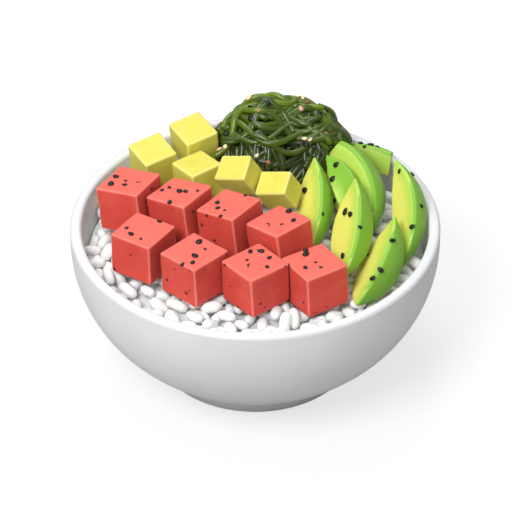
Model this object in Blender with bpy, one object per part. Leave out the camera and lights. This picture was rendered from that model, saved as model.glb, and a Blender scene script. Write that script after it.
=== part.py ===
"""Poke bowl: a glazed bowl of rice topped with tuna cubes, mango cubes, avocado
slices and a heap of seaweed strands.  Metres, +Z up.  The origin is the centre of
the foot ring's underside, so the bowl stands on the plane z = 0."""

import math
import random
from collections import namedtuple

import bmesh
import bpy
from mathutils import Matrix, Vector, noise

MM = 0.001

# Bowl: a turned wall of even thickness on a low foot ring.
BOWL_RADIUS = 80.0 * MM
BOWL_HEIGHT = 71.0 * MM
WALL_THICKNESS = 5.0 * MM
BELLY_CENTRE = BOWL_HEIGHT - 7.0 * MM    # height at which the wall stands upright
BELLY_DEPTH = 68.5 * MM                  # half-axis of the wall's elliptic outline
LIP_ROUNDING = 1.8 * MM
FLOOR_HEIGHT = 9.0 * MM                  # inner floor
FOOT_RADIUS = 45.0 * MM
FOOT_TAPER = 1.6 * MM
FOOT_RING_WIDTH = 4.5 * MM
FOOT_RECESS = 2.2 * MM
FOOT_EDGE_HEIGHT = 1.2 * MM              # the foot flares out over this height
FLOOR_CORNER = 8.0 * MM                  # width of the slope between floor and wall
TURNED_SIDES = 48
WALL_STEPS = 11
LIP_STEPS = 3

# Food.
CLEARANCE = 0.3 * MM                     # gap between neighbouring pieces
RICE_EDGE_DROP = 14.5 * MM               # how far below the rim the rice meets the wall
RICE_UNEVENNESS = 0.9 * MM
RICE_LUMP = 11.0 * MM                    # width of one lump of the rice's surface
RICE_NOISE_PLANE = 3.7                   # which cut through the noise is used
RICE_WALL_GAP = 2.0 * MM                 # the bed follows the wall up to this far below its edge
RICE_RINGS = 9
TUNA_ROUNDING = 0.9 * MM
MANGO_ROUNDING = 0.6 * MM
CORNER_STRAY = 0.25 * MM                 # most that a hand-cut corner is out of place
ROUNDING_LOSS = 1 / 3                    # share of the rounding that a corner loses each way
SLICE_STATIONS = 13
SLICE_BACK_STEPS = 4
SLICE_TAPER = 2.2                        # power of the slice's lens-shaped outline
SLICE_TIP = 0.965                        # tips are cut this far along the half-length
SLICE_EDGE = 0.9 * MM                    # softened edges of a slice
SLICE_EDGE_SHARE = 0.2                   # but no more than this share of its width
PIT_EDGE_SHARE = 0.6                     # the pit edge is blunted by this much of it
BACK_MARGIN = 0.35                       # first point of the round back, in steps
SECTION_GROW = 1.6                       # a corner moves further than its two faces

# The rice is heaped in two low mounds: (x, y, rise, reach).
RICE_MOUNDS = (
    (-10.0 * MM, 30.0 * MM, 13.0 * MM, 42.0 * MM),
    (48.0 * MM, 4.0 * MM, 2.6 * MM, 22.0 * MM),
)

# Seaweed heap: an oval footprint with a back ridge and two crests.
HEAP_CENTRE = (11.0 * MM, 46.0 * MM)
HEAP_HALF_WIDTHS = (35.0 * MM, 20.5 * MM)
HEAP_BASE = BOWL_HEIGHT - 8.0 * MM
HEAP_TOP = BOWL_HEIGHT + 15.5 * MM       # height of the heap over its centre line
HEAP_SLOPE = 0.62                        # rise towards the back
HEAP_CRESTS = ((4.0 * MM, 5.5 * MM, 9.0 * MM), (28.0 * MM, 3.5 * MM, 8.0 * MM))
HEAP_RISE_LIMIT = 10.0 * MM              # most that the slope adds to the top
HEAP_UNEVENNESS = 1.6 * MM
HEAP_LUMP = 8.0 * MM
HEAP_NOISE_PLANE = 9.1
HEAP_DOME_POWER = 4                      # higher is a steeper edge
HEAP_SIDES = 28
HEAP_RINGS = 6

# Cubes lie in rows. A row starts at a place (x, y, height above the rim) and steps one
# pitch to the next cube; the step's direction turns by the bend and each cube lies lower
# by the sink. Cubes turn about Z by the turn, changing by the twist along the row, and
# lean about Y and X. Millimetres and degrees.
CubeRow = namedtuple("CubeRow", "kind count start pitch direction bend sink turn twist lean size")
CUBE_ROWS = (
    CubeRow("tuna", 4, (-54, 14, 1), 23.5, -18, -5, 0.3, 60, -5, (-6, -7), (20, 20, 20)),
    CubeRow("tuna", 4, (-47.5, -16, -2), 26, -32, 19, 1.3, 54, -7, (-2, -3), (20, 20, 19)),
    CubeRow("mango", 2, (-45, 38, 4), 21, 30, 0, -4, 32, 0, (-3, 7), (15.5, 16.5, 16.5)),
    CubeRow("mango", 1, (-25, 28, 3), 0, 0, 0, 0, 40, 0, (-3, -4), (15.5, 15.5, 16.5)),
    CubeRow("mango", 2, (-7, 22, 9), 18, -17, 0, 4, -20, 5, (-25, 20), (14.5, 11.5, 13.5)),
)
CUBE_PLACE_STRAY = 0.4                   # no two cubes lie, turn or measure quite alike
CUBE_TURN_STRAY = 2.5
CUBE_SIZE_STRAY = 0.4
Cube = namedtuple("Cube", "x y z length width height turn lean_y lean_x")

# Avocado slices: middle of the chord between the tips, heading of the long axis,
# rise of its far end, roll of the cut face, then the length, the greatest width of
# the cut face, the share of the width on the pit side, the wedge angle, and how far
# the near and the far end run (1 is a full tip, less is a blunt end).
Slice = namedtuple("Slice", "x y z heading rise roll length width pit_share wedge near_end far_end")
# Three like slices fan out towards the front: each step is shorter than the one before,
# each slice turns further in, and the middle one rides on its neighbours.
FAN_COUNT = 3
FAN_FIRST = Slice(25, 12, 2, 88, 18, 48, 50, 17.5, 0.67, 36, SLICE_TIP, SLICE_TIP)
FAN_STEP = (15.5, -21.5)
FAN_CLOSING = 0.7                        # length of a step against the one before
FAN_TURN = -5                            # degrees, times the square of the slice's number
FAN_RIDE = 4.5                           # how far the middle slice is raised
FAN_RIDE_RISE = 6.0                      # and how much more steeply it lies
FAN_FALL = -2.0                          # and how far each lies below the one before
FAN_WIDEN = 1.7
# Four more lie behind and beside the fan: a narrow one, a broad one, one along the wall
# and a short end piece at the back.
NARROW_SLICE = Slice(37, 15.5, 4.5, 110, 20, 50, 42, 13, 0.3, 20, SLICE_TIP, SLICE_TIP)
BROAD_SLICE = Slice(38.5, 25, 1.5, 116, 18, 56, 58, 25, 0.4, 40, SLICE_TIP, 0.6)
WALL_SLICE = Slice(61.5, 6, 0, 92, 28, 54, 54, 16, 0.25, 38, SLICE_TIP, SLICE_TIP)
END_SLICE = Slice(50, 44.5, -0.5, 158, 0, 72, 50, 13, 0.4, 17, 0.4, 0.45)


def clear_scene():
    """Remove every object, so that only the bowl and its food are left."""
    for obj in list(bpy.data.objects):
        bpy.data.objects.remove(obj, do_unlink=True)


def food_material(name, color, roughness, subsurface=0.0):
    """A Principled material with one colour."""
    material = bpy.data.materials.new(name)
    material.use_nodes = True
    shader = material.node_tree.nodes["Principled BSDF"]
    shader.inputs["Base Color"].default_value = (*color, 1.0)
    shader.inputs["Roughness"].default_value = roughness
    shader.inputs["Subsurface Weight"].default_value = subsurface
    material.diffuse_color = (*color, 1.0)
    return material


def add_object(name, bm, material, smooth_angle=None):
    """Turn a bmesh into a named object with one material."""
    mesh = bpy.data.meshes.new(name)
    bmesh.ops.recalc_face_normals(bm, faces=bm.faces)
    bm.to_mesh(mesh)
    bm.free()
    if smooth_angle is not None:
        mesh.shade_smooth()
        mesh.set_sharp_from_angle(angle=math.radians(smooth_angle))
    if material is not None:
        mesh.materials.append(material)
    obj = bpy.data.objects.new(name, mesh)
    bpy.context.scene.collection.objects.link(obj)
    return obj


def add_cutter(name, bm):
    """A hidden guide that a Boolean takes away from another piece."""
    obj = add_object(name, bm, None)
    obj.hide_render = True
    obj.display_type = "WIRE"
    return obj


def cut_with(obj, cutters):
    """Take each cutter away from the object, one Boolean each."""
    for cutter in cutters:
        boolean = obj.modifiers.new("clear of " + cutter.name, "BOOLEAN")
        boolean.operation = "DIFFERENCE"
        boolean.solver = "EXACT"
        boolean.object = cutter


def skin_rings(bm, rings, closed_start=True, closed_end=True):
    """Skin a run of equal rings of points and close both ends with a face."""
    rows = [[bm.verts.new(point) for point in ring] for ring in rings]
    for near, far in zip(rows, rows[1:]):
        count = len(near)
        for i in range(count):
            j = (i + 1) % count
            bm.faces.new((near[i], near[j], far[j], far[i]))
    if closed_start:
        bm.faces.new(list(reversed(rows[0])))
    if closed_end:
        bm.faces.new(rows[-1])
    return rows


def fan_to_point(bm, row, point):
    """Close a ring of vertices with a fan of triangles to one point."""
    tip = bm.verts.new(point)
    for i, vertex in enumerate(row):
        bm.faces.new((vertex, row[(i + 1) % len(row)], tip))


# ---------------------------------------------------------------- bowl

def wall_outline():
    """Outer and inner outline of the wall, (radius, height), from the rim down."""
    last = math.acos(FOOT_RADIUS / BOWL_RADIUS)
    outer, inner = [], []
    for step in range(WALL_STEPS + 1):
        angle = last * step / WALL_STEPS
        radius = BOWL_RADIUS * math.cos(angle)
        height = BELLY_CENTRE - BELLY_DEPTH * math.sin(angle)
        normal = Vector((math.cos(angle) / BOWL_RADIUS, -math.sin(angle) / BELLY_DEPTH))
        normal.normalize()
        outer.append((radius, height))
        inner.append((radius - WALL_THICKNESS * normal.x, height - WALL_THICKNESS * normal.y))
    return outer, inner


def inner_wall():
    """Inner outline from the rim to the floor, ending level on the floor."""
    outline = [(BOWL_RADIUS - WALL_THICKNESS, BOWL_HEIGHT)]
    outline += [point for point in wall_outline()[1] if point[1] > FLOOR_HEIGHT + WALL_THICKNESS / 2]
    outline.append((outline[-1][0] - FLOOR_CORNER, FLOOR_HEIGHT))
    return outline


def inner_radius(height):
    """Radius of the bowl's inside at a height, along the faceted outline."""
    outline = inner_wall()
    for (r0, z0), (r1, z1) in zip(outline, outline[1:]):
        if z1 <= height <= z0:
            return r0 + (r1 - r0) * (z0 - height) / (z0 - z1)
    return outline[0][0]


def lip_outline():
    """Rounded lip from the outer wall over the top to the inner wall."""
    points = []
    outer_x = BOWL_RADIUS - LIP_ROUNDING
    inner_x = BOWL_RADIUS - WALL_THICKNESS + LIP_ROUNDING
    level = BOWL_HEIGHT - LIP_ROUNDING
    for centre, start in ((inner_x, math.pi), (outer_x, math.pi / 2)):
        for step in range(LIP_STEPS + 1):
            angle = start - math.pi / 2 * step / LIP_STEPS
            points.append((centre + LIP_ROUNDING * math.cos(angle), level + LIP_ROUNDING * math.sin(angle)))
    return list(reversed(points))


def bowl_outline():
    """The whole turned outline, from the underside's centre round to the floor's."""
    foot_inner = FOOT_RADIUS - FOOT_TAPER - FOOT_RING_WIDTH
    underside = [(foot_inner - FOOT_RECESS / 2, FOOT_RECESS), (foot_inner, 0.0)]
    foot = [(FOOT_RADIUS - FOOT_TAPER, 0.0), (FOOT_RADIUS - FOOT_TAPER / 3, FOOT_EDGE_HEIGHT)]
    outer = list(reversed(wall_outline()[0]))
    return underside + foot + outer + lip_outline() + inner_wall()[1:]


def build_bowl(material):
    """Turn the outline about Z and close it at the two centres."""
    bm = bmesh.new()
    rings = []
    for radius, height in bowl_outline():
        ring = []
        for side in range(TURNED_SIDES):
            angle = 2 * math.pi * side / TURNED_SIDES
            ring.append((radius * math.cos(angle), radius * math.sin(angle), height))
        rings.append(ring)
    rows = skin_rings(bm, rings, closed_start=False, closed_end=False)
    fan_to_point(bm, rows[0], (0.0, 0.0, FOOT_RECESS))
    fan_to_point(bm, rows[-1], (0.0, 0.0, FLOOR_HEIGHT))
    return add_object("bowl", bm, material, smooth_angle=35)


# ---------------------------------------------------------------- rice

def rice_surface(x, y):
    """Height of the rice: mounds, then soft lumps a few grains wide."""
    height = BOWL_HEIGHT - RICE_EDGE_DROP
    for mound_x, mound_y, rise, reach in RICE_MOUNDS:
        distance = math.hypot(x - mound_x, y - mound_y)
        height += rise * math.exp(-(distance / reach) ** 2)
    lump = noise.noise(Vector((x / RICE_LUMP, y / RICE_LUMP, RICE_NOISE_PLANE)))
    return height + RICE_UNEVENNESS * lump


def rice_rings():
    """Rings of the rice from the bowl's floor up the wall and over the top."""
    angles = [2 * math.pi * side / TURNED_SIDES for side in range(TURNED_SIDES)]
    shore = []
    for angle in angles:
        radius = inner_radius(BOWL_HEIGHT - RICE_EDGE_DROP) - CLEARANCE
        height = rice_surface(radius * math.cos(angle), radius * math.sin(angle))
        shore.append((inner_radius(height) - CLEARANCE, height))
    lowest = min(height for radius, height in shore)
    wall = [point for point in inner_wall() if point[1] < lowest - RICE_WALL_GAP]
    rings = []
    for radius, height in reversed(wall):
        rings.append([(radius - CLEARANCE, max(height, FLOOR_HEIGHT + CLEARANCE))] * TURNED_SIDES)
    rings.append(shore)
    solid = [[(r * math.cos(a), r * math.sin(a), z) for (r, z), a in zip(ring, angles)] for ring in rings]
    for step in range(1, RICE_RINGS):
        share = 1.0 - step / RICE_RINGS
        ring = []
        for (radius, height), angle in zip(shore, angles):
            x = radius * share * math.cos(angle)
            y = radius * share * math.sin(angle)
            ring.append((x, y, rice_surface(x, y)))
        solid.append(ring)
    return solid


def build_rice(material, cutters):
    """The bed of rice, pressed in where each topping sits."""
    bm = bmesh.new()
    rows = skin_rings(bm, rice_rings(), closed_start=False, closed_end=False)
    fan_to_point(bm, rows[0], (0.0, 0.0, FLOOR_HEIGHT + CLEARANCE))
    fan_to_point(bm, rows[-1], (0.0, 0.0, rice_surface(0.0, 0.0)))
    bed = add_object("rice_bed", bm, material, smooth_angle=30)
    cut_with(bed, cutters)
    return bed


# ---------------------------------------------------------------- cubes

def row_cubes(row, rng):
    """The cubes of one row, each a little off its rule."""
    def stray(most):
        return rng.uniform(-most, most)

    x, y, z = row.start
    direction = row.direction
    cubes = []
    for number in range(row.count):
        place = (x + stray(CUBE_PLACE_STRAY), y + stray(CUBE_PLACE_STRAY), z)
        size = [side + stray(CUBE_SIZE_STRAY) for side in row.size]
        turn = row.turn + row.twist * number + stray(CUBE_TURN_STRAY)
        cubes.append(Cube(*place, *size, turn, *row.lean))
        x += row.pitch * math.cos(math.radians(direction))
        y += row.pitch * math.sin(math.radians(direction))
        z -= row.sink
        direction += row.bend
    return cubes


def cube_frame(cube):
    """Place of a cube in the bowl."""
    centre = Vector((cube.x * MM, cube.y * MM, BOWL_HEIGHT + cube.z * MM))
    turn = Matrix.Rotation(math.radians(cube.turn), 4, "Z")
    lean_y = Matrix.Rotation(math.radians(cube.lean_y), 4, "Y")
    lean_x = Matrix.Rotation(math.radians(cube.lean_x), 4, "X")
    return Matrix.Translation(centre) @ lean_x @ lean_y @ turn


def cube_mesh(cube, grow, rng=None):
    """A cube grown evenly; a hand-cut one has corners that stray a little."""
    bm = bmesh.new()
    bmesh.ops.create_cube(bm, size=1.0)
    size = Vector((cube.length, cube.width, cube.height)) * MM
    for vertex in bm.verts:
        for axis in range(3):
            half = size[axis] / 2 + grow
            if rng is not None:
                half += rng.uniform(-CORNER_STRAY, CORNER_STRAY)
            vertex.co[axis] = math.copysign(half, vertex.co[axis])
    return bm


def build_cube(name, cube, material, rounding, segments, rng):
    """One cube with rounded edges, placed by its own frame."""
    mesh = cube_mesh(cube, rounding * ROUNDING_LOSS, rng)
    obj = add_object(name, mesh, material, smooth_angle=50)
    bevel = obj.modifiers.new("soft edges", "BEVEL")
    bevel.width = rounding
    bevel.segments = segments
    bevel.limit_method = "NONE"
    obj.matrix_world = cube_frame(cube)
    return obj


def cube_cutter(name, cube, rounding):
    """The room that a cube takes up, with the clearance round it."""
    grow = rounding * ROUNDING_LOSS + CORNER_STRAY + CLEARANCE
    obj = add_cutter(name + "_room", cube_mesh(cube, grow))
    obj.matrix_world = cube_frame(cube)
    return obj


# ---------------------------------------------------------------- avocado

def fan_slices():
    """The three like slices of the fan, back to front."""
    slices = []
    x, y = FAN_FIRST.x, FAN_FIRST.y
    step = Vector(FAN_STEP)
    for number in range(FAN_COUNT):
        riding = 1.0 if 0 < number < FAN_COUNT - 1 else 0.0
        slices.append(FAN_FIRST._replace(
            x=x, y=y, z=FAN_FIRST.z + FAN_FALL * number + FAN_RIDE * riding,
            heading=FAN_FIRST.heading + FAN_TURN * number ** 2,
            rise=FAN_FIRST.rise + FAN_RIDE_RISE * riding,
            width=FAN_FIRST.width + FAN_WIDEN * number))
        x += step.x
        y += step.y
        step *= FAN_CLOSING
    return slices


def avocado_slices():
    """All slices in the order of their numbers, from the middle of the bowl outwards."""
    first, second, third = fan_slices()
    return [first, NARROW_SLICE, second, BROAD_SLICE, WALL_SLICE, END_SLICE, third]


def slice_axes(piece):
    """Long axis, outward axis in the cut face, and the cut face's normal."""
    heading, rise, roll = (math.radians(a) for a in (piece.heading, piece.rise, piece.roll))
    along = Vector((math.cos(rise) * math.cos(heading), math.cos(rise) * math.sin(heading), math.sin(rise)))
    up = Vector((-math.sin(rise) * math.cos(heading), -math.sin(rise) * math.sin(heading), math.cos(rise)))
    side = along.cross(up)
    outward = side * math.cos(roll) + up * math.sin(roll)
    normal = up * math.cos(roll) - side * math.sin(roll)
    return along, outward, normal


def slice_section(width, wedge, edge):
    """Cross-section of a wedge: pit edge, cut face, round back, other cut face."""
    edge = min(edge, width * SLICE_EDGE_SHARE)
    blunt = edge * PIT_EDGE_SHARE
    points = [(blunt, 0.0), (width - edge, 0.0)]
    for step in range(SLICE_BACK_STEPS + 1):
        share = (step + BACK_MARGIN) / (SLICE_BACK_STEPS + 2 * BACK_MARGIN)
        points.append((width * math.cos(wedge * share), width * math.sin(wedge * share)))
    points.append(((width - edge) * math.cos(wedge), (width - edge) * math.sin(wedge)))
    points.append((blunt * math.cos(wedge), blunt * math.sin(wedge)))
    return points


def slice_mesh(piece, grow=0.0):
    """A wedge cut lengthwise from half an avocado, tapering to both ends."""
    along, outward, normal = slice_axes(piece)
    middle = Vector((piece.x * MM, piece.y * MM, BOWL_HEIGHT + piece.z * MM))
    half_length = piece.length * MM / 2
    wedge = math.radians(piece.wedge)
    bm = bmesh.new()
    rings = []
    for station in range(SLICE_STATIONS):
        share = -piece.near_end + (piece.far_end + piece.near_end) * station / (SLICE_STATIONS - 1)
        width = piece.width * MM * (1.0 - abs(share) ** SLICE_TAPER)
        pit_edge = -width * piece.pit_share
        reach = share * (half_length + grow)
        ring = []
        section = slice_section(width, wedge, SLICE_EDGE)
        balance = sum((Vector(point) for point in section), Vector((0.0, 0.0))) / len(section)
        for point in section:
            away = Vector(point) - balance
            across, down = Vector(point) + away.normalized() * grow * SECTION_GROW
            ring.append(middle + along * reach + outward * (pit_edge + across) - normal * down)
        rings.append(ring)
    skin_rings(bm, rings)
    return bm


# ---------------------------------------------------------------- seaweed

def heap_surface(x, y, grow):
    """Top of the seaweed: rising to the back, with two crests and loose lumps."""
    height = HEAP_TOP + HEAP_SLOPE * (y - HEAP_CENTRE[1]) + grow
    height = min(height, HEAP_TOP + HEAP_RISE_LIMIT)
    for crest_x, rise, reach in HEAP_CRESTS:
        height += rise * math.exp(-((x - crest_x) / reach) ** 2)
    lump = noise.noise(Vector((x / HEAP_LUMP, y / HEAP_LUMP, HEAP_NOISE_PLANE)))
    return height + HEAP_UNEVENNESS * lump


def heap_mesh(grow=0.0):
    """The heap as one lump, closed underneath."""
    bm = bmesh.new()
    rings = []
    base = HEAP_BASE - grow
    for ring_index in range(HEAP_RINGS + 1):
        share = 1.0 - ring_index / (HEAP_RINGS + 1)
        dome = (1.0 - share ** HEAP_DOME_POWER) ** 0.5
        ring = []
        for side in range(HEAP_SIDES):
            angle = 2 * math.pi * side / HEAP_SIDES
            x = HEAP_CENTRE[0] + (HEAP_HALF_WIDTHS[0] + grow) * share * math.cos(angle)
            y = HEAP_CENTRE[1] + (HEAP_HALF_WIDTHS[1] + grow) * share * math.sin(angle)
            ring.append((x, y, base + (heap_surface(x, y, grow) - base) * dome))
        rings.append(ring)
    rows = skin_rings(bm, rings, closed_end=False)
    fan_to_point(bm, rows[-1], (*HEAP_CENTRE, heap_surface(*HEAP_CENTRE, grow)))
    return bm


# ---------------------------------------------------------------- assembly

def build_all():
    """Build every piece; the rice and the seaweed are cut clear of their neighbours."""
    clear_scene()
    rng = random.Random(11)
    glazed = food_material("glazed stoneware", (0.86, 0.86, 0.87), 0.22)
    rice = food_material("cooked rice", (0.88, 0.89, 0.88), 0.45, 0.2)
    tuna = food_material("raw tuna", (0.78, 0.10, 0.07), 0.38, 0.2)
    mango = food_material("ripe mango", (0.87, 0.74, 0.12), 0.42, 0.15)
    avocado = food_material("ripe avocado", (0.38, 0.62, 0.08), 0.42, 0.1)
    seaweed = food_material("wet seaweed", (0.035, 0.075, 0.008), 0.25)

    build_bowl(glazed)
    cutters = []
    finishes = {"tuna": (tuna, TUNA_ROUNDING, 2), "mango": (mango, MANGO_ROUNDING, 1)}
    for kind, (material, rounding, segments) in finishes.items():
        rows = [row for row in CUBE_ROWS if row.kind == kind]
        cubes = [cube for row in rows for cube in row_cubes(row, rng)]
        for number, cube in enumerate(cubes, 1):
            name = f"{kind}_cube_{number}"
            build_cube(name, cube, material, rounding, segments, rng)
            cutters.append(cube_cutter(name, cube, rounding))
    for number, piece in enumerate(avocado_slices(), 1):
        name = f"avocado_slice_{number}"
        add_object(name, slice_mesh(piece), avocado, smooth_angle=35)
        cutters.append(add_cutter(name + "_room", slice_mesh(piece, grow=CLEARANCE)))

    heap = add_object("seaweed_heap", heap_mesh(), seaweed, smooth_angle=60)
    cut_with(heap, cutters)
    heap_room = add_cutter("seaweed_heap_room", heap_mesh(grow=CLEARANCE))
    build_rice(rice, cutters + [heap_room])


build_all()
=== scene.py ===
import math
import random

import bmesh
import bpy
from mathutils import Matrix, Vector, noise
from mathutils.bvhtree import BVHTree


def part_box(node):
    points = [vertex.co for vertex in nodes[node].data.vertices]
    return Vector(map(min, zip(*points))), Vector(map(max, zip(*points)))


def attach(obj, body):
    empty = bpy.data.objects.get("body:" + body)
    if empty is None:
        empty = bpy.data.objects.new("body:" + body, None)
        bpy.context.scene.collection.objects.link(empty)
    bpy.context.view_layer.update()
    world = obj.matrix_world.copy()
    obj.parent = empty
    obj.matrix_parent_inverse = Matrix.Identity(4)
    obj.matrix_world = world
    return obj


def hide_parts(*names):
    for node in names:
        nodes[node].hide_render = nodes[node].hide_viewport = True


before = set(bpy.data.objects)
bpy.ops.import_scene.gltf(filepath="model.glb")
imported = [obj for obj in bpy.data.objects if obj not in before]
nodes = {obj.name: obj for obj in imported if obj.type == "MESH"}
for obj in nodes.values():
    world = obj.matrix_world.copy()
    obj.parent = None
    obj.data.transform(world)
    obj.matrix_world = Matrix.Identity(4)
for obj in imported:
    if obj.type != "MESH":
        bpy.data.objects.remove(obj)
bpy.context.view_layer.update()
mm = 0.001

tunaNames = [f"tuna_cube_{i}" for i in range(1, 9)]
mangoNames = [f"mango_cube_{i}" for i in range(1, 6)]
avocadoNames = [f"avocado_slice_{i}" for i in range(1, 8)]
down = Vector((0, 0, -1))

bowlLow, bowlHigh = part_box("bowl")
rimHeight = bowlHigh[2]
rimRadius = (bowlHigh[0] - bowlLow[0]) / 2
print("frame loaded, rim at", round(rimHeight, 4))


# colours and nodes

def toLinear(hexColour):
    channels = [int(hexColour[i:i + 2], 16) / 255 for i in (1, 3, 5)]
    linear = [c / 12.92 if c <= 0.04045 else ((c + 0.055) / 1.055) ** 2.4 for c in channels]
    return (*linear, 1.0)


# noise scale for a pattern this many millimetres wide
def scaleOf(width):
    return 1 / (width * mm)


def toShare(value):
    return min(1.0, max(0.0, value))


# add one node; settings are attributes, ramp stops or input values, links are input: source
def addNode(tree, kind, settings=None, links=None):
    node = tree.nodes.new(kind)
    for key, value in (settings or {}).items():
        if key == "stops":
            elements = node.color_ramp.elements
            while len(elements) < len(value):
                elements.new(0.5)
            for element, (position, hexColour) in zip(elements, value):
                element.position = position
                element.color = toLinear(hexColour)
        elif isinstance(key, str) and hasattr(node, key):
            setattr(node, key, value)
        else:
            node.inputs[key].default_value = value
    for key, source in (links or {}).items():
        tree.links.new(source, node.inputs[key])
    return node


def newMaterial(name):
    material = bpy.data.materials.new(name)
    material.use_nodes = True
    tree = material.node_tree
    tree.nodes.clear()
    return material, tree, addNode(tree, "ShaderNodeTexCoord").outputs["Object"]


# meshes

sameSide = 0.985   # faces whose normals agree this well belong to one flat side
tipShare = 0.12   # a tube's end ring stands this share of the radius inside its tip


def dress(mesh, material):
    mesh.materials.clear()
    mesh.materials.append(material)
    mesh.shade_smooth()


def meshObject(name, mesh, material):
    dress(mesh, material)
    obj = bpy.data.objects.new(name, mesh)
    bpy.context.scene.collection.objects.link(obj)
    return obj


def fromBmesh(name, bm, material):
    mesh = bpy.data.meshes.new(name)
    bm.to_mesh(mesh)
    bm.free()
    return meshObject(name, mesh, material)


# points and faces gathered from many small things, with one number for each point
class Pile:
    def __init__(self):
        self.points, self.faces, self.tones = [], [], []

    def add(self, points, faces, tone):
        start = len(self.points)
        self.points += points
        self.faces += [tuple(i + start for i in face) for face in faces]
        self.tones += [tone] * len(points)

    def build(self, name, material):
        mesh = bpy.data.meshes.new(name)
        mesh.from_pydata(self.points, [], self.faces)
        layer = mesh.attributes.new("tone", "FLOAT", "POINT")
        layer.data.foreach_set("value", self.tones)
        mesh.update()
        return meshObject(name, mesh, material)


def treeOf(meshes):
    pile = Pile()
    for mesh in meshes:
        pile.add([v.co.copy() for v in mesh.vertices], [p.vertices for p in mesh.polygons], 0)
    return BVHTree.FromPolygons(pile.points, pile.faces)


# the directions of the largest flat sides
def mainNormals(mesh, count):
    groups = []
    for polygon in mesh.polygons:
        for group in groups:
            if group[0].dot(polygon.normal) > sameSide:
                group[1] += polygon.area
                break
        else:
            groups.append([polygon.normal.copy(), polygon.area])
    groups.sort(key=lambda group: -group[1])
    return [group[0] for group in groups[:count]]


# a smooth, evenly meshed copy of a CAD solid
def refinedCopy(node, name, material, voxel, rounds):
    obj = meshObject(name, nodes[node].data.copy(), material)
    remesh = obj.modifiers.new("even", "REMESH")
    remesh.mode = "VOXEL"
    remesh.voxel_size = voxel
    smooth = obj.modifiers.new("soft", "SMOOTH")
    smooth.factor = 0.5
    smooth.iterations = rounds
    bpy.context.view_layer.update()
    mesh = bpy.data.meshes.new_from_object(obj.evaluated_get(bpy.context.evaluated_depsgraph_get()))
    obj.modifiers.clear()
    obj.data = mesh
    dress(mesh, material)
    return obj


# push each point along its normal by soft noise
def roughen(mesh, size, depth, seed):
    shift = Vector((seed, seed * 0.37, 5.1))
    moved = [v.co + v.normal * noise.noise(v.co / size + shift) * depth for v in mesh.vertices]
    mesh.vertices.foreach_set("co", [c for point in moved for c in point])
    mesh.update()


def finishPiece(obj, slotName, *replaced):
    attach(obj, "root")
    if replaced:
        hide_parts(*replaced)
    return obj


# quads between rings of points that follow each other
def ringFaces(rings, around):
    faces = []
    for i in range(rings - 1):
        for j in range(around):
            a, b = i * around + j, i * around + (j + 1) % around
            faces.append((a, b, b + around, a + around))
    return faces


# a closed pod along X, with a tip at each end; girth gives its half-widths from -1 to 1
def podShape(form, girth):
    around, along, half = form["around"], form["along"], form["length"] / 2
    points = []
    for i in range(1, along):
        t = -math.cos(math.pi * i / along)
        wide, high = girth(t)
        for j in range(around):
            turn = 2 * math.pi * j / around
            points.append(Vector((t * half, wide * math.cos(turn), high * math.sin(turn))))
    faces = ringFaces(along - 1, around)
    first, last, end = len(points), len(points) + 1, (along - 2) * around
    points += [Vector((-half, 0, 0)), Vector((half, 0, 0))]
    for j in range(around):
        faces.append(((j + 1) % around, j, first))
        faces.append((end + j, end + (j + 1) % around, last))
    return points, faces


# a round tube along a route, with rounded ends
def tubeShape(route, radius, sides):
    points = []
    side = Vector((0.3, 0.2, 1)).cross(route[1] - route[0]).normalized()
    run = [0.0]
    for a, b in zip(route, route[1:]):
        run.append(run[-1] + (b - a).length)
    for i, centre in enumerate(route):
        ahead = (route[min(i + 1, len(route) - 1)] - route[max(i - 1, 0)]).normalized()
        side = (side - ahead * side.dot(ahead)).normalized()
        other = ahead.cross(side)
        near = min(run[i], run[-1] - run[i]) + tipShare * radius
        size = radius * math.sqrt(1 - (1 - min(1.0, near / radius)) ** 2)
        for j in range(sides):
            turn = 2 * math.pi * j / sides
            points.append(centre + (side * math.cos(turn) + other * math.sin(turn)) * size)
    last = (len(route) - 1) * sides
    faces = ringFaces(len(route), sides) + [tuple(reversed(range(sides))), tuple(range(last, last + sides))]
    return points, faces


# camera and light

viewpoint = {"elevation": 37.5, "distance": 1.5, "frameWidth": 0.2228, "aimSide": 0.00035, "aimShare": 0.741}
studio = {
    "key": {"place": (-0.36, -0.6, 0.86), "size": 0.5, "power": 8.3},
    "top": {"place": (-0.1, 0.35, 0.95), "size": 0.6, "power": 3.9},
    "sky": 0.52,
    "ground": 0.3,
    "horizon": (-0.25, 0.6),   # where the light turns from ground to sky
    "skyTint": "#F6F8FC",
    "glow": 0.68,
    "floorBounce": "#BBBBBB",
}


def makeCamera():
    elevation = math.radians(viewpoint["elevation"])
    target = Vector((viewpoint["aimSide"], 0, rimHeight * viewpoint["aimShare"]))
    away = Vector((0, -math.cos(elevation), math.sin(elevation)))
    data = bpy.data.cameras.new("camera")
    data.lens = data.sensor_width * viewpoint["distance"] / viewpoint["frameWidth"]
    data.clip_start = 0.05
    camera = bpy.data.objects.new("camera", data)
    camera.location = target + away * viewpoint["distance"]
    camera.rotation_euler = (math.pi / 2 - elevation, 0, 0)
    bpy.context.scene.collection.objects.link(camera)
    bpy.context.scene.camera = camera


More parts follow.
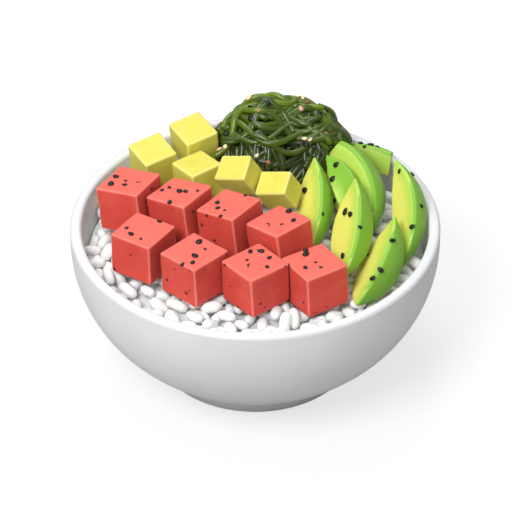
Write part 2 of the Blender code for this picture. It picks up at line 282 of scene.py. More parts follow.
def makeLights():
    for name in ("key", "top"):
        lamp = studio[name]
        data = bpy.data.lights.new(name, "AREA")
        data.shape = "DISK"
        data.size = lamp["size"]
        data.energy = lamp["power"]
        light = bpy.data.objects.new(name, data)
        light.location = lamp["place"]
        aim = Vector((0, 0, rimHeight)) - light.location
        light.rotation_euler = aim.to_track_quat("-Z", "Y").to_euler()
        bpy.context.scene.collection.objects.link(light)
    world = bpy.data.worlds.new("studio")
    bpy.context.scene.world = world
    world.use_nodes = True
    tree = world.node_tree
    tree.nodes.clear()
    # one big soft tent: bright above, dim below the table line, in front of a white backdrop
    ray = addNode(tree, "ShaderNodeTexCoord")
    height = addNode(tree, "ShaderNodeSeparateXYZ", links={0: ray.outputs["Generated"]})
    below, above = studio["horizon"]
    shade = addNode(tree, "ShaderNodeMapRange", {"From Min": below, "From Max": above,
                    "To Min": studio["ground"], "To Max": studio["sky"]}, {"Value": height.outputs["Z"]})
    sky = addNode(tree, "ShaderNodeBackground", {"Color": toLinear(studio["skyTint"])},
                  {"Strength": shade.outputs[0]})
    backdrop = addNode(tree, "ShaderNodeBackground", {"Color": (1, 1, 1, 1)})
    path = addNode(tree, "ShaderNodeLightPath")
    mix = addNode(tree, "ShaderNodeMixShader", links={0: path.outputs["Is Camera Ray"],
                  1: sky.outputs[0], 2: backdrop.outputs[0]})
    addNode(tree, "ShaderNodeOutputWorld", links={"Surface": mix.outputs[0]})


def makeFloor():
    # matte paper sheet, lit mostly from within, so shadows on it stay faint; it throws back
    # only a soft share of the light
    material, tree, place = newMaterial("matte paper sheet")
    fibre = addNode(tree, "ShaderNodeTexNoise", {"Scale": 0.9 / mm, "Detail": 3.0}, {"Vector": place})
    tone = addNode(tree, "ShaderNodeValToRGB", {"stops": [(0.3, "#FCFCFC"), (0.7, "#FFFFFF")]},
                   {"Fac": fibre.outputs[0]})
    paper = addNode(tree, "ShaderNodeBsdfDiffuse", links={"Color": tone.outputs[0]})
    glow = addNode(tree, "ShaderNodeEmission", {"Strength": 1.0})
    seen = addNode(tree, "ShaderNodeMixShader", {0: studio["glow"]},
                   {1: paper.outputs[0], 2: glow.outputs[0]})
    bounce = addNode(tree, "ShaderNodeBsdfDiffuse", {"Color": toLinear(studio["floorBounce"])})
    path = addNode(tree, "ShaderNodeLightPath")
    surface = addNode(tree, "ShaderNodeMixShader", links={0: path.outputs["Is Camera Ray"],
                      1: bounce.outputs[0], 2: seen.outputs[0]})
    addNode(tree, "ShaderNodeOutputMaterial", links={"Surface": surface.outputs[0]})
    bm = bmesh.new()
    bmesh.ops.create_circle(bm, cap_ends=True, segments=96, radius=3.0)
    floor = fromBmesh("floor", bm, material)
    floor.location.z = -0.0002


makeCamera()
makeLights()
makeFloor()
bpy.context.scene.view_settings.view_transform = "Standard"
print("camera, lights and floor ready")


# bowl

bowlForm = {
    "sides": 192, "wall": 5.0 * mm, "belly": 68.5 * mm, "upright": 7.0 * mm, "lip": 1.8 * mm,
    "floor": 9.0 * mm, "foot": 45.0 * mm, "taper": 1.6 * mm, "ring": 4.5 * mm, "recess": 2.2 * mm,
    "steps": 40, "lipSteps": 8, "soft": 0.7 * mm, "corner": 8.0 * mm, "bareClay": (0.5 * mm, 0.8 * mm),
}


# a point of the outer wall and the point a wall's thickness inside it
def wallCurve(angle):
    outer = Vector((rimRadius * math.cos(angle),
                    rimHeight - bowlForm["upright"] - bowlForm["belly"] * math.sin(angle)))
    normal = Vector((math.cos(angle) / rimRadius, -math.sin(angle) / bowlForm["belly"])).normalized()
    return outer, outer - normal * bowlForm["wall"]


def bowlOutline():
    f = bowlForm
    last = math.acos(f["foot"] / rimRadius)
    angles = [last * i / f["steps"] for i in range(f["steps"] + 1)]
    footInner = f["foot"] - f["taper"] - f["ring"]
    footOuter = f["foot"] - f["taper"]
    outer = [wallCurve(angle)[0] for angle in reversed(angles)]
    neck = outer[0].y
    # underside, standing ring, then a small hollow where the foot runs into the wall
    outline = [Vector((footInner - 1.6 * mm, f["recess"])), Vector((footInner - 0.9 * mm, f["recess"] * 0.9)),
               Vector((footInner - 0.1 * mm, f["soft"])), Vector((footInner + f["soft"], 0)),
               Vector((footOuter - f["soft"], 0)), Vector((footOuter + 0.1 * mm, f["soft"])),
               Vector((f["foot"] - 0.9 * mm, neck * 0.55)), Vector((f["foot"] - 0.5 * mm, neck * 0.85)),
               Vector((f["foot"] + 0.3 * mm, neck + 0.1 * mm))] + outer[1:]
    level = rimHeight - f["lip"]
    for centre, start in ((rimRadius - f["lip"], 0), (rimRadius - f["wall"] + f["lip"], math.pi / 2)):
        for i in range(f["lipSteps"] + 1):
            angle = start + math.pi / 2 * i / f["lipSteps"]
            outline.append(Vector((centre + f["lip"] * math.cos(angle), level + f["lip"] * math.sin(angle))))
    inner = [wallCurve(angle)[1] for angle in angles]
    outline += [p for p in inner if p.y > f["floor"] + f["wall"] / 2]
    outline.append(Vector((outline[-1].x - f["corner"], f["floor"])))
    return outline


def makeGlaze():
    # glazed stoneware, turned and dipped: a satin white skin, softly uneven where the glaze
    # flowed, and a bare clay ring where the foot stands, up to the bareClay heights
    material, tree, place = newMaterial("glazed stoneware")
    flow = addNode(tree, "ShaderNodeTexNoise", {"Scale": scaleOf(30), "Detail": 2.0}, {"Vector": place})
    tone = addNode(tree, "ShaderNodeValToRGB", {"stops": [(0.3, "#DDDDDE"), (0.7, "#E2E2E2")]},
                   {"Fac": flow.outputs[0]})
    clay = addNode(tree, "ShaderNodeTexNoise", {"Scale": scaleOf(0.6), "Detail": 4.0}, {"Vector": place})
    clayTone = addNode(tree, "ShaderNodeValToRGB", {"stops": [(0.3, "#B9AF9F"), (0.7, "#D8CFC0")]},
                       {"Fac": clay.outputs[0]})
    height = addNode(tree, "ShaderNodeSeparateXYZ", links={0: place})
    low, high = bowlForm["bareClay"]
    bare = addNode(tree, "ShaderNodeMapRange", {"From Min": low, "From Max": high, "To Min": 1.0,
                   "To Max": 0.0}, {"Value": height.outputs["Z"]})
    colour = addNode(tree, "ShaderNodeMix", {"data_type": "RGBA"}, {0: bare.outputs[0],
                     6: tone.outputs[0], 7: clayTone.outputs[0]})
    gloss = addNode(tree, "ShaderNodeMapRange", {"To Min": 0.38, "To Max": 0.85}, {"Value": bare.outputs[0]})
    ripple = addNode(tree, "ShaderNodeTexNoise", {"Scale": scaleOf(4), "Detail": 1.0}, {"Vector": place})
    bump = addNode(tree, "ShaderNodeBump", {"Strength": 0.06, "Distance": 0.4 * mm},
                   {"Height": ripple.outputs[0]})
    surface = addNode(tree, "ShaderNodeBsdfPrincipled", {"IOR": 1.5},
                      {"Base Color": colour.outputs[2], "Roughness": gloss.outputs[0],
                       "Normal": bump.outputs[0]})
    addNode(tree, "ShaderNodeOutputMaterial", links={"Surface": surface.outputs[0]})
    return material


def makeBowl():
    bm = bmesh.new()
    rows = []
    for point in bowlOutline():
        ring = []
        for side in range(bowlForm["sides"]):
            turn = 2 * math.pi * side / bowlForm["sides"]
            ring.append(bm.verts.new((point.x * math.cos(turn), point.x * math.sin(turn), point.y)))
        rows.append(ring)
    for near, far in zip(rows, rows[1:]):
        for i in range(len(near)):
            j = (i + 1) % len(near)
            bm.faces.new((near[i], near[j], far[j], far[i]))
    for row, height in ((rows[0], bowlForm["recess"]), (rows[-1], bowlForm["floor"])):
        centre = bm.verts.new((0, 0, height))
        for i in range(len(row)):
            bm.faces.new((row[i], row[(i + 1) % len(row)], centre))
    bmesh.ops.recalc_face_normals(bm, faces=bm.faces)
    finishPiece(fromBmesh("glazed_bowl", bm, makeGlaze()), "glazed_stoneware", "bowl")


makeBowl()
print("bowl turned")


# cut cubes of tuna and mango

# the tops are painted paler than the sides by the last share of each look, as painted top
# light; the painted edge highlight starts where the surface leaves a flat side, and the
# painted top light where it turns upwards
cutForm = {"edgeFrom": 0.99, "edgeOver": 0.15, "topFrom": 0.6, "topOver": 0.3}
tunaLook = {"voxel": 0.5 * mm, "rounds": 2, "lump": 9.0 * mm, "depth": 0.3 * mm, "paintedTopLight": 0.45}
mangoLook = {"voxel": 0.45 * mm, "rounds": 1, "lump": 7.0 * mm, "depth": 0.15 * mm, "paintedTopLight": 0.0}


def makeTunaFlesh():
    # raw tuna, knife cut: moist flesh that light enters a little, with faint clouding and a fine
    # fibre; paler rounded edges are a painted highlight, and paler tops painted top light
    material, tree, place = newMaterial("raw tuna, knife cut")
    cloud = addNode(tree, "ShaderNodeTexNoise", {"Scale": scaleOf(8), "Detail": 3.0}, {"Vector": place})
    tone = addNode(tree, "ShaderNodeValToRGB", {"stops": [(0.3, "#DB4A3F"), (0.7, "#E3564A")]},
                   {"Fac": cloud.outputs[0]})
    # painted highlight on the rounded edges and painted top light on the tops: both mix the flesh towards the
    # paler colour
    edge = addNode(tree, "ShaderNodeAttribute", {"attribute_name": "edge"})
    paler = addNode(tree, "ShaderNodeMix", {"data_type": "RGBA", 7: toLinear("#EE8474")},
                    {0: edge.outputs["Fac"], 6: tone.outputs[0]})
    # light thrown on its neighbours is kept pale, or the rice would turn pink
    path = addNode(tree, "ShaderNodeLightPath")
    flesh = addNode(tree, "ShaderNodeMix", {"data_type": "RGBA", 6: toLinear("#B4716A")},
                    {0: path.outputs["Is Camera Ray"], 7: paler.outputs[2]})
    fibre = addNode(tree, "ShaderNodeTexNoise", {"Scale": scaleOf(1.1), "Detail": 2.0, "Roughness": 0.6},
                    {"Vector": place})
    bump = addNode(tree, "ShaderNodeBump", {"Strength": 0.1, "Distance": 0.3 * mm},
                   {"Height": fibre.outputs[0]})
    surface = addNode(tree, "ShaderNodeBsdfPrincipled", {"Roughness": 0.5, "IOR": 1.33,
                      "Subsurface Weight": 0.2, "Subsurface Radius": (1.0, 0.3, 0.2),
                      "Subsurface Scale": 1.5 * mm},
                      {"Base Color": flesh.outputs[2], "Normal": bump.outputs[0]})
    addNode(tree, "ShaderNodeOutputMaterial", links={"Surface": surface.outputs[0]})
    return material


def makeMangoFlesh():
    # ripe mango, knife cut: opaque juicy flesh with crisp edges and a soft fibre; the paler
    # rounded edges are a painted highlight
    material, tree, place = newMaterial("ripe mango, knife cut")
    cloud = addNode(tree, "ShaderNodeTexNoise", {"Scale": scaleOf(6), "Detail": 3.0}, {"Vector": place})
    tone = addNode(tree, "ShaderNodeValToRGB", {"stops": [(0.3, "#D8CE52"), (0.7, "#DFD660")]},
                   {"Fac": cloud.outputs[0]})
    # painted highlight: the rounded edges mix towards the paler colour
    edge = addNode(tree, "ShaderNodeAttribute", {"attribute_name": "edge"})
    paler = addNode(tree, "ShaderNodeMix", {"data_type": "RGBA", 7: toLinear("#EAE486")},
                    {0: edge.outputs["Fac"], 6: tone.outputs[0]})
    fibre = addNode(tree, "ShaderNodeTexNoise", {"Scale": scaleOf(0.9), "Detail": 2.0}, {"Vector": place})
    bump = addNode(tree, "ShaderNodeBump", {"Strength": 0.08, "Distance": 0.3 * mm},
                   {"Height": fibre.outputs[0]})
    surface = addNode(tree, "ShaderNodeBsdfPrincipled", {"Roughness": 0.48, "IOR": 1.38,
                      "Subsurface Weight": 0.08, "Subsurface Radius": (1.0, 1.0, 0.3),
                      "Subsurface Scale": 1.2 * mm},
                      {"Base Color": paler.outputs[2], "Normal": bump.outputs[0]})
    addNode(tree, "ShaderNodeOutputMaterial", links={"Surface": surface.outputs[0]})
    return material


def cutCubes(names, pieceName, slotName, material, look, seed):
    cubes = []
    for i, name in enumerate(names):
        cube = refinedCopy(name, f"{pieceName}_{i + 1}", material, look["voxel"], look["rounds"])
        flats = mainNormals(nodes[name].data, 6)
        square = [max(v.normal.dot(flat) for flat in flats) for v in cube.data.vertices]
        # one number for each point: a painted highlight where the surface leaves a flat side, and painted top
        # light where it turns upwards
        layer = cube.data.attributes.new("edge", "FLOAT", "POINT")
        paintedEdgeHighlight = [toShare((cutForm["edgeFrom"] - s) / cutForm["edgeOver"]) for s in square]
        paintedTopLight = [look["paintedTopLight"] * toShare((v.normal.z - cutForm["topFrom"]) / cutForm["topOver"])
                 for v in cube.data.vertices]
        layer.data.foreach_set("value", [max(pair) for pair in zip(paintedEdgeHighlight, paintedTopLight)])
        roughen(cube.data, look["lump"], look["depth"], seed + i)
        cubes.append(finishPiece(cube, slotName, name))
    return cubes


tunaCubes = cutCubes(tunaNames, "tuna_piece", "tuna", makeTunaFlesh(), tunaLook, 1)
mangoCubes = cutCubes(mangoNames, "mango_piece", "mango", makeMangoFlesh(), mangoLook, 21)
print("tuna and mango cut")


# avocado

# a slice cut further from the stone is greener, by a lower number; low parts of the skin
# side are painted darker, as painted shade; the two cut faces are found by how far they turn
# from each other
avocadoLook = {
    "voxel": 0.4 * mm, "rounds": 2, "scale": 12.5,
    "greener": {"avocado_slice_2": 0.04, "avocado_slice_4": 0.4, "avocado_slice_6": 0.3},
    "darkBelow": 1.0 * mm, "darkDepth": 24.0 * mm, "skinReach": 1.2,
    "flatSides": 12, "cutsApart": (-0.995, -0.3), "backTurn": 0.3,
}


def makeAvocadoFlesh():
    # ripe avocado, peeled and sliced: buttery yellow by the stone, greener towards the skin,
    # a painted highlight as a pale line along the cut edge, and smooth green outside
    material, tree, place = newMaterial("ripe avocado, peeled")
    depth = addNode(tree, "ShaderNodeAttribute", {"attribute_name": "skinDepth"})
    drift = addNode(tree, "ShaderNodeTexNoise", {"Scale": scaleOf(6), "Detail": 2.0}, {"Vector": place})
    # the noise moves the colour bands by a share of their depth, so not at the skin itself
    wander = addNode(tree, "ShaderNodeMath", {"operation": "SUBTRACT", 1: 0.5}, {0: drift.outputs[0]})
    moved = addNode(tree, "ShaderNodeMath", {"operation": "MULTIPLY"}, {0: wander.outputs[0],
                    1: depth.outputs["Fac"]})
    spread = addNode(tree, "ShaderNodeMath", {"operation": "ADD"}, {0: depth.outputs["Fac"],
                     1: moved.outputs[0]})
    share = addNode(tree, "ShaderNodeMath", {"operation": "DIVIDE", 1: avocadoLook["scale"]},
                    {0: spread.outputs[0]})
    # the pale stop at 0.045 is a painted highlight along the cut edge
    tone = addNode(tree, "ShaderNodeValToRGB", {"stops": [(0.0, "#83B83A"), (0.02, "#8CC140"),
                   (0.045, "#C4E070"), (0.085, "#B7DA58"), (0.2, "#BBD558"), (0.42, "#DADB60"),
                   (0.65, "#E3E06A"), (1.0, "#E5DF68")]}, {"Fac": share.outputs[0]})
    # painted shade: low parts of the skin side mix towards dark green
    shade = addNode(tree, "ShaderNodeAttribute", {"attribute_name": "shade"})
    colour = addNode(tree, "ShaderNodeMix", {"data_type": "RGBA", 7: toLinear("#41700F")},
                     {0: shade.outputs["Fac"], 6: tone.outputs[0]})
    soft = addNode(tree, "ShaderNodeTexNoise", {"Scale": scaleOf(1.4), "Detail": 2.0}, {"Vector": place})
    bump = addNode(tree, "ShaderNodeBump", {"Strength": 0.07, "Distance": 0.3 * mm},
                   {"Height": soft.outputs[0]})
    surface = addNode(tree, "ShaderNodeBsdfPrincipled", {"Roughness": 0.42, "IOR": 1.42,
                      "Subsurface Weight": 0.1, "Subsurface Radius": (0.8, 1.0, 0.2),
                      "Subsurface Scale": 1 * mm},
                      {"Base Color": colour.outputs[2], "Normal": bump.outputs[0]})
    addNode(tree, "ShaderNodeOutputMaterial", links={"Surface": surface.outputs[0]})
    return material


def sliceAvocado():
    flesh = makeAvocadoFlesh()
    least, most = avocadoLook["cutsApart"]
    slices = []
    for i, name in enumerate(avocadoNames):
        cad = nodes[name].data
        normals = mainNormals(cad, avocadoLook["flatSides"])
        cuts = [normals[0], next(n for n in normals[1:] if least < n.dot(normals[0]) < most)]
        outward = -(cuts[0] + cuts[1]).normalized()
        backFaces = [list(p.vertices) for p in cad.polygons
                     if p.normal.dot(outward) > avocadoLook["backTurn"]]
        back = BVHTree.FromPolygons([v.co for v in cad.vertices], backFaces)
        piece = refinedCopy(name, f"avocado_piece_{i + 1}", flesh, avocadoLook["voxel"],
                            avocadoLook["rounds"])
        depths = [back.find_nearest(v.co)[3] / mm for v in piece.data.vertices]
        heights = [v.co.z - rimHeight for v in piece.data.vertices]
        greener = avocadoLook["greener"].get(name, 1.0)
        layer = piece.data.attributes.new("skinDepth", "FLOAT", "POINT")
        layer.data.foreach_set("value", [depth * greener for depth in depths])
        # painted shade on the skin side, stronger the lower it lies
        layer = piece.data.attributes.new("shade", "FLOAT", "POINT")
        layer.data.foreach_set("value", [
            math.exp(-(depth / avocadoLook["skinReach"]) ** 2)
            * toShare((avocadoLook["darkBelow"] - height) / avocadoLook["darkDepth"])
            for depth, height in zip(depths, heights)])
        slices.append(finishPiece(piece, "avocado", name))
    return slices


avocadoSlices = sliceAvocado()
print("avocado sliced")


# rice

# grains start and stay clear of the wall by a share of their half-width, and press into each
# other a little
riceForm = {
    "length": 9.4 * mm, "width": 5.1 * mm, "drop": 6.2 * mm, "rise": 2.4 * mm, "tries": 30000,
    "sizes": (0.86, 1.08), "tilt": 20, "press": 0.88, "sink": 0.5 * mm, "startInset": 0.9,
    "wallTouch": 0.92, "coreShare": 0.9, "around": 10, "along": 8, "seed": 5,
}


def makeRiceFinish():
    # cooked short-grain rice: plump and moist, and lets a little light in
    material, tree, place = newMaterial("cooked short-grain rice")
    tint = addNode(tree, "ShaderNodeAttribute", {"attribute_name": "tone"})
    tone = addNode(tree, "ShaderNodeValToRGB", {"stops": [(0.0, "#EDEFEE"), (1.0, "#F8F8F6")]},
                   {"Fac": tint.outputs["Fac"]})
    streak = addNode(tree, "ShaderNodeTexNoise", {"Scale": scaleOf(1.2), "Detail": 2.0}, {"Vector": place})
    bump = addNode(tree, "ShaderNodeBump", {"Strength": 0.1, "Distance": 0.2 * mm},
                   {"Height": streak.outputs[0]})
    surface = addNode(tree, "ShaderNodeBsdfPrincipled", {"Roughness": 0.4, "IOR": 1.38,
                      "Subsurface Weight": 0.2, "Subsurface Radius": (1.0, 0.95, 0.9),
                      "Subsurface Scale": 1 * mm},
                      {"Base Color": tone.outputs[0], "Normal": bump.outputs[0]})
    addNode(tree, "ShaderNodeOutputMaterial", links={"Surface": surface.outputs[0]})
    return material


# a plump grain along X: round ends, fuller middle
def grainShape():
    def girth(t):
        radius = riceForm["width"] / 2 * (1 - abs(t) ** 3) ** 0.5
        return radius, radius
    return podShape(riceForm, girth)


def innerWall(height):
    share = (rimHeight - bowlForm["upright"] - height) / (bowlForm["belly"] - bowlForm["wall"])
    return (rimRadius - bowlForm["wall"]) * math.sqrt(1 - toShare(share) ** 2)


# grains fall one by one on the core and on each other; one that finds no room is left out
def settleRice(bed, toppings):
    rng = random.Random(riceForm["seed"])
    thick = riceForm["width"] / 2
    reach = riceForm["length"] / 2 - thick
    cell = riceForm["width"] * 1.2   # wider than two grains can be apart and touch
    settled = {}
    grains = []
    for attempt in range(riceForm["tries"]):
        angle = rng.uniform(0, 2 * math.pi)
        radius = (rimRadius - bowlForm["wall"] - thick * riceForm["startInset"]) * math.sqrt(rng.random())
        heading = rng.uniform(0, math.pi)
        tilt = math.radians(rng.gauss(0, riceForm["tilt"]))
        size = rng.uniform(*riceForm["sizes"])
        roll = rng.uniform(0, math.pi)
        x, y = radius * math.cos(angle), radius * math.sin(angle)
        hit = bed.ray_cast(Vector((x, y, rimHeight * 2)), down)
        if hit[0] is None:
            continue
        ground = hit[0].z
        run = math.cos(tilt)
        axis = Vector((run * math.cos(heading), run * math.sin(heading), math.sin(tilt)))
        spots = [Vector((x, y, 0)) + axis * reach * size * t for t in (-1, 0, 1)]
        level = ground - riceForm["drop"] + thick
        for spot in spots:
            column, row = math.floor(spot.x / cell), math.floor(spot.y / cell)
            for key in ((column + i, row + j) for i in (-1, 0, 1) for j in (-1, 0, 1)):
                for other, otherThick in settled.get(key, ()):
                    flat = (spot.x - other.x) ** 2 + (spot.y - other.y) ** 2
                    touch = (thick * size + otherThick) * riceForm["press"]
                    if flat < touch * touch:
                        level = max(level, other.z + math.sqrt(touch * touch - flat) - spot.z)
        if level > ground + riceForm["rise"] - thick:
            continue
        spots = [spot + Vector((0, 0, level)) for spot in spots]
        inset = thick * size * riceForm["wallTouch"]
        if any(spot.xy.length > innerWall(spot.z) - inset for spot in spots):
            continue
        near = [toppings.find_nearest(spot) for spot in spots]
        if any((spot - n[0]).dot(n[1]) < 0 or n[3] < thick * size - riceForm["sink"]
               for spot, n in zip(spots, near)):
            continue
        for spot in spots:
            key = (math.floor(spot.x / cell), math.floor(spot.y / cell))
            settled.setdefault(key, []).append((spot, thick * size))
        turn = axis.to_track_quat("X", "Z").to_matrix().to_4x4()
        spin = Matrix.Rotation(roll, 4, "X")
        grains.append(Matrix.Translation(spots[1]) @ turn @ spin @ Matrix.Scale(size, 4))
    return grains


def makeRice():
    finish = makeRiceFinish()
    bed = treeOf([nodes["rice_bed"].data])
    toppings = treeOf([nodes[name].data for name in tunaNames + mangoNames + avocadoNames + ["seaweed_heap"]])
    shape, faces = grainShape()
    rng = random.Random(riceForm["seed"])
    pile = Pile()
    grains = settleRice(bed, toppings)
    for place in grains:
        pile.add([place @ point for point in shape], faces, rng.random())
    finishPiece(pile.build("rice_grains", finish), "rice", "rice_bed")
    # what lies under the grains: the bed, its top lowered by a little over a grain's width
    core = meshObject("rice_core", nodes["rice_bed"].data.copy(), finish)
    lower = riceForm["drop"] * riceForm["coreShare"]
    for vertex in core.data.vertices:
        if vertex.co.z > rimHeight / 2:
            vertex.co.z -= lower
            vertex.co.xy *= innerWall(vertex.co.z) / innerWall(vertex.co.z + lower)
    finishPiece(core, "rice")
    print("rice grains:", len(grains), "faces:", len(pile.faces))


makeRice()


# seaweed

# each kind of strand has how many, which part of the heap's depth they start in (0 is the
# front), which way they run (side, back), their length, how deep they lie (negative is under
# the surface), how far they arch out of it, how strongly and quickly they wave, how light they
# are painted: the deep kinds darker as painted shade, the high arching kinds lighter as painted light
weedForm = {
    "radius": 1.5 * mm, "sides": 9, "step": 0.9 * mm, "seed": 3, "leastPoints": 7, "easing": 6,
    "keepOn": 0.06, "stray": 0.2, "clear": 0.9, "thickness": (0.85, 1.08), "toneSpread": 0.12,
    "coreDrop": 5.2 * mm, "coreRounds": 6, "voxel": 0.8 * mm, "lowest": 9.0 * mm,
    "archSpan": 24.0 * mm,   # from one arch to the next along a strand
    "kinds": [
        {"count": 60, "depth": (0, 1), "run": (1, 0), "length": (20, 50), "lift": (-2.9, -1.6),
         "arch": 0, "wave": 0.08, "pace": 0.16, "tone": 0.22},
        {"count": 60, "depth": (0.05, 0.5), "run": (0.25, -1), "length": (14, 34), "lift": (-2.8, -1.2),
         "arch": 0.3, "wave": 0.06, "pace": 0.2, "tone": 0.38},
        {"count": 70, "depth": (0.6, 1), "run": (0.5, 1), "length": (16, 44), "lift": (-2.6, -0.8),
         "arch": 0.3, "wave": 0.08, "pace": 0.18, "tone": 0.42},
        {"count": 50, "depth": (0.9, 1), "run": (1, 0.15), "length": (30, 70), "lift": (-2.4, -0.8),
         "arch": 0.6, "wave": 0.08, "pace": 0.14, "tone": 0.5},
        {"count": 30, "depth": (0.1, 0.85), "run": (1, 0), "length": (55, 90), "lift": (-1.2, -0.2),
         "arch": 1.3, "wave": 0.10, "pace": 0.13, "tone": 0.72},
        {"count": 10, "depth": (0.7, 0.95), "run": (1, 0), "length": (45, 75), "lift": (-1.0, 0),
         "arch": 2.3, "wave": 0.07, "pace": 0.12, "tone": 0.88},
    ],
}


def makeSeaweedFinish():
    # wet seaweed: dark olive strands under a thin film of water that glints
    material, tree, place = newMaterial("wet seaweed")
    tint = addNode(tree, "ShaderNodeAttribute", {"attribute_name": "tone"})
    cloud = addNode(tree, "ShaderNodeTexNoise", {"Scale": scaleOf(7), "Detail": 3.0}, {"Vector": place})
    blend = addNode(tree, "ShaderNodeMath", {"operation": "MULTIPLY_ADD", 1: 0.6, 2: -0.3},
                    {0: cloud.outputs[0]})
    level = addNode(tree, "ShaderNodeMath", {"operation": "ADD"},
                    {0: tint.outputs["Fac"], 1: blend.outputs[0]})
    tone = addNode(tree, "ShaderNodeValToRGB", {"stops": [(0.0, "#141802"), (0.45, "#2C3B04"),
                   (0.8, "#485E08"), (1.0, "#688012")]}, {"Fac": level.outputs[0]})
    surface = addNode(tree, "ShaderNodeBsdfPrincipled", {"Roughness": 0.34, "IOR": 1.38,
                      "Coat Weight": 0.35, "Coat Roughness": 0.1}, {"Base Color": tone.outputs[0]})
    addNode(tree, "ShaderNodeOutputMaterial", links={"Surface": surface.outputs[0]})
    return material


# a wavy line that creeps over the heap, staying clear of the toppings
def creepOver(heap, toppings, rng, kind):
    low, high = (Vector(corner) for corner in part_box("seaweed_heap"))
    share = rng.uniform(*kind["depth"])
    start = Vector((rng.uniform(low.x, high.x), low.y + (high.y - low.y) * share, high.z))
    lift = rng.uniform(*kind["lift"]) * mm
    spot, normal = heap.find_nearest(start)[:2]
    run = Vector((kind["run"][0] * rng.choice((-1, 1)), kind["run"][1] + rng.gauss(0, weedForm["stray"]), 0))
    heading = run.copy()
    bend = rng.uniform(0, 2 * math.pi)
    route = []
    for i in range(round(rng.uniform(*kind["length"]) * mm / weedForm["step"])):
        heading += run * weedForm["keepOn"]
        heading = (heading - normal * heading.dot(normal)).normalized()
        across = normal.cross(heading)
        heading = (heading + across * kind["wave"] * math.sin(bend + i * kind["pace"])).normalized()
        spot, normal = heap.find_nearest(spot + heading * weedForm["step"])[:2]
        swing = math.sin(bend + math.pi * i * weedForm["step"] / weedForm["archSpan"])
        arch = kind["arch"] * mm * swing ** 2
        centre = spot + normal * (lift + arch)
        near = toppings.find_nearest(centre)
        tooNear = near[3] < weedForm["radius"] * weedForm["clear"]
        blocked = tooNear or (centre - near[0]).dot(near[1]) < 0
        if blocked or centre.z < rimHeight - weedForm["lowest"]:
            break
        route.append(centre)
    return route


# soften the kinks that following a faceted surface leaves
def easeRoute(route, rounds):
    for turn in range(rounds):
        eased = [(a + 2 * b + c) / 4 for a, b, c in zip(route, route[1:], route[2:])]
        route = [route[0]] + eased + [route[-1]]
    return route


def makeSeaweed():
    finish = makeSeaweedFinish()
    heap = treeOf([nodes["seaweed_heap"].data])
    toppings = treeOf([nodes[name].data for name in mangoNames + avocadoNames + tunaNames])
    rng = random.Random(weedForm["seed"])
    pile = Pile()
    count = 0
    for kind in weedForm["kinds"]:
        for attempt in range(kind["count"]):
            route = creepOver(heap, toppings, rng, kind)
            if len(route) < weedForm["leastPoints"]:
                continue
            radius = weedForm["radius"] * rng.uniform(*weedForm["thickness"])
            # tone by kind: painted shade on deep strands, painted light on high arching ones
            pile.add(*tubeShape(easeRoute(route, weedForm["easing"]), radius, weedForm["sides"]),
                     kind["tone"] + rng.uniform(-weedForm["toneSpread"], weedForm["toneSpread"]))
            count += 1
    strands = finishPiece(pile.build("seaweed_strands", finish), "seaweed", "seaweed_heap")
    # the dark inside of the heap, under the strands
    inside, tree, place = newMaterial("shaded seaweed")
    cloud = addNode(tree, "ShaderNodeTexNoise", {"Scale": scaleOf(4), "Detail": 3.0}, {"Vector": place})
    tone = addNode(tree, "ShaderNodeValToRGB", {"stops": [(0.3, "#0E0F05"), (0.7, "#1C240A")]},
                   {"Fac": cloud.outputs[0]})
    surface = addNode(tree, "ShaderNodeBsdfPrincipled", {"Roughness": 0.5}, {"Base Color": tone.outputs[0]})
    addNode(tree, "ShaderNodeOutputMaterial", links={"Surface": surface.outputs[0]})
    core = refinedCopy("seaweed_heap", "seaweed_core", inside, weedForm["voxel"], weedForm["coreRounds"])
    normals = [v.normal.copy() for v in core.data.vertices]
    for vertex, normal in zip(core.data.vertices, normals):
        vertex.co -= normal * weedForm["coreDrop"]
    finishPiece(core, "seaweed")
    print("seaweed strands:", count, "faces:", len(pile.faces))
    return strands


seaweedStrands = makeSeaweed()


# sesame seeds and flecks

# black and pale are the least and most size of each kind; on says how many lie on each kind
# of piece, least and most, and how near the edge of its box they may be; seeds keep a gap
# between them and lie only where the piece faces up
seedForm = {
    "length": 3.0 * mm, "width": 2.15 * mm, "height": 1.0 * mm, "taper": 0.28, "around": 10, "along": 7,
    "sink": 0.2 * mm, "nod": 0.13, "gap": 2.6 * mm, "tries": 40, "upward": 0.45, "seed": 8,
    "black": (0.55, 1.3), "pale": (0.7, 1.0),
    "on": {
        "tuna": {"black": (3, 6), "pale": (0, 0), "margin": 0.2},
        "mango": {"black": (0, 0), "pale": (0, 0), "margin": 0.25},
        "avocado": {"black": (3, 4), "pale": (0, 0), "margin": 0.15},
        "seaweed": {"black": (9, 9), "pale": (18, 18), "margin": 0.12},
    },
}
# bits of seed husk: flat flecks, and on one cube in so many a curled one
huskForm = {
    "flecksEach": 9, "fleck": 0.45, "fleckSizes": (0.6, 1.3), "fleckSink": 0.1 * mm,
    "curlsOnEvery": 3, "curlMargin": 0.3, "curlRadius": 0.24 * mm, "curlBend": 1.1 * mm,
    "curlPoints": 9, "curlTurn": 0.35, "curlOpen": (0.7, 0.08), "curlSides": 6, "curlTone": 0.4,
}


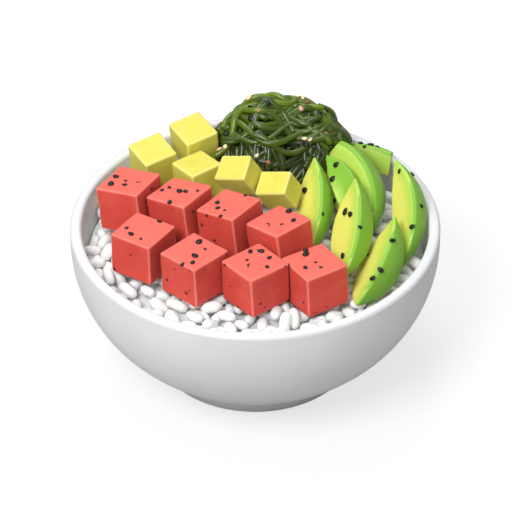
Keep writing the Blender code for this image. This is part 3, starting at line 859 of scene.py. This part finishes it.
def makeSesame(name, stops, roughness):
    # toasted sesame: a smooth, slightly shiny hull, each seed its own tone
    material, tree, place = newMaterial(name)
    tint = addNode(tree, "ShaderNodeAttribute", {"attribute_name": "tone"})
    speck = addNode(tree, "ShaderNodeTexNoise", {"Scale": scaleOf(0.5), "Detail": 1.0}, {"Vector": place})
    mixed = addNode(tree, "ShaderNodeMath", {"operation": "MULTIPLY_ADD", 1: 0.16}, {0: speck.outputs[0],
                    2: tint.outputs["Fac"]})
    tone = addNode(tree, "ShaderNodeValToRGB", {"stops": stops}, {"Fac": mixed.outputs[0]})
    surface = addNode(tree, "ShaderNodeBsdfPrincipled", {"Roughness": roughness, "IOR": 1.47},
                      {"Base Color": tone.outputs[0]})
    addNode(tree, "ShaderNodeOutputMaterial", links={"Surface": surface.outputs[0]})
    return material


# a flat teardrop along X, narrower at one end
def seedShape():
    def girth(t):
        share = math.sqrt(1 - t * t) * (1 - seedForm["taper"] * t)
        return share * seedForm["width"] / 2, share * seedForm["height"] / 2
    return podShape(seedForm, girth)


# lay a thing on a surface point, flat against it
def layOn(pile, shape, faces, spot, normal, heading, size, sink, tone):
    ahead = Vector((math.cos(heading), math.sin(heading), seedForm["nod"]))
    ahead = (ahead - normal * ahead.dot(normal)).normalized()
    across = normal.cross(ahead)
    centre = spot + normal * (seedForm["height"] / 2 * size - sink)
    pile.add([centre + (ahead * p.x + across * p.y + normal * p.z) * size for p in shape], faces, tone)


# places on top of a piece, spread over its box and kept apart from each other
def topSpots(piece, count, margin, taken, rng):
    corners = [v.co for v in piece.data.vertices]
    low = Vector((min(c.x for c in corners), min(c.y for c in corners)))
    high = Vector((max(c.x for c in corners), max(c.y for c in corners)))
    surface = treeOf([piece.data])
    spots = []
    for attempt in range(count * seedForm["tries"]):
        if len(spots) == count:
            break
        across, along = (rng.uniform(margin, 1 - margin) for side in range(2))
        x, y = low.x + (high.x - low.x) * across, low.y + (high.y - low.y) * along
        hit = surface.ray_cast(Vector((x, y, rimHeight * 2)), down)
        if hit[0] is None or hit[1].z < seedForm["upward"]:
            continue
        if all((hit[0] - other).length > seedForm["gap"] for other in taken):
            taken.append(hit[0])
            spots.append(hit)
    return spots


def layHusks(pile, shape, faces, rng):
    h = huskForm
    start, growth = h["curlOpen"]
    for i, cube in enumerate(tunaCubes):
        sides = [p for p in cube.data.polygons if abs(p.normal.z) < 0.5]
        for polygon in rng.sample(sides, h["flecksEach"]):
            layOn(pile, shape, faces, polygon.center, polygon.normal, rng.uniform(0, 6),
                  h["fleck"] * rng.uniform(*h["fleckSizes"]), h["fleckSink"], rng.random())
        if i % h["curlsOnEvery"]:
            continue
        for hit in topSpots(cube, 1, h["curlMargin"], [], rng):
            heading = rng.uniform(0, 6)
            route = []
            for k in range(h["curlPoints"]):
                turn = heading + h["curlTurn"] * k
                reach = Vector((math.cos(turn), math.sin(turn), 0)) * h["curlBend"] * (start + growth * k)
                route.append(hit[0] + hit[1] * h["curlRadius"] + reach)
            pile.add(*tubeShape(route, h["curlRadius"], h["curlSides"]), rng.random() * h["curlTone"])


def sprinkle():
    rng = random.Random(seedForm["seed"])
    shape, faces = seedShape()
    piles = {"black": Pile(), "pale": Pile()}
    groups = {"tuna": tunaCubes, "mango": mangoCubes, "avocado": avocadoSlices,
              "seaweed": [seaweedStrands]}
    for kind, pieces in groups.items():
        rule = seedForm["on"][kind]
        for piece in pieces:
            taken = []
            for colour, pile in piles.items():
                for hit in topSpots(piece, rng.randint(*rule[colour]), rule["margin"], taken, rng):
                    layOn(pile, shape, faces, hit[0], hit[1], rng.uniform(0, math.pi),
                          rng.uniform(*seedForm[colour]), seedForm["sink"], rng.random())
    blackHull = makeSesame("toasted black sesame", [(0.0, "#050505"), (1.0, "#120C0A")], 0.4)
    paleHull = makeSesame("toasted white sesame", [(0.0, "#E9C98D"), (0.3, "#F3E2B4"), (0.5, "#DDB0A0"),
                          (0.75, "#B08458"), (1.0, "#8A5A44")], 0.4)
    finishPiece(piles["black"].build("black_sesame", blackHull), "seaweed")
    finishPiece(piles["pale"].build("pale_sesame", paleHull), "seaweed")
    print("seeds:", {colour: len(pile.tones) // len(shape) for colour, pile in piles.items()})
    # small husk flecks stuck to the sides of the tuna, and a few curled ones on top
    flecks = Pile()
    layHusks(flecks, shape, faces, rng)
    husk = makeSesame("sesame husk", [(0.0, "#2A100C"), (1.0, "#7A2418")], 0.5)
    finishPiece(flecks.build("husk_flecks", husk), "tuna")


sprinkle()
print("seeds sprinkled")
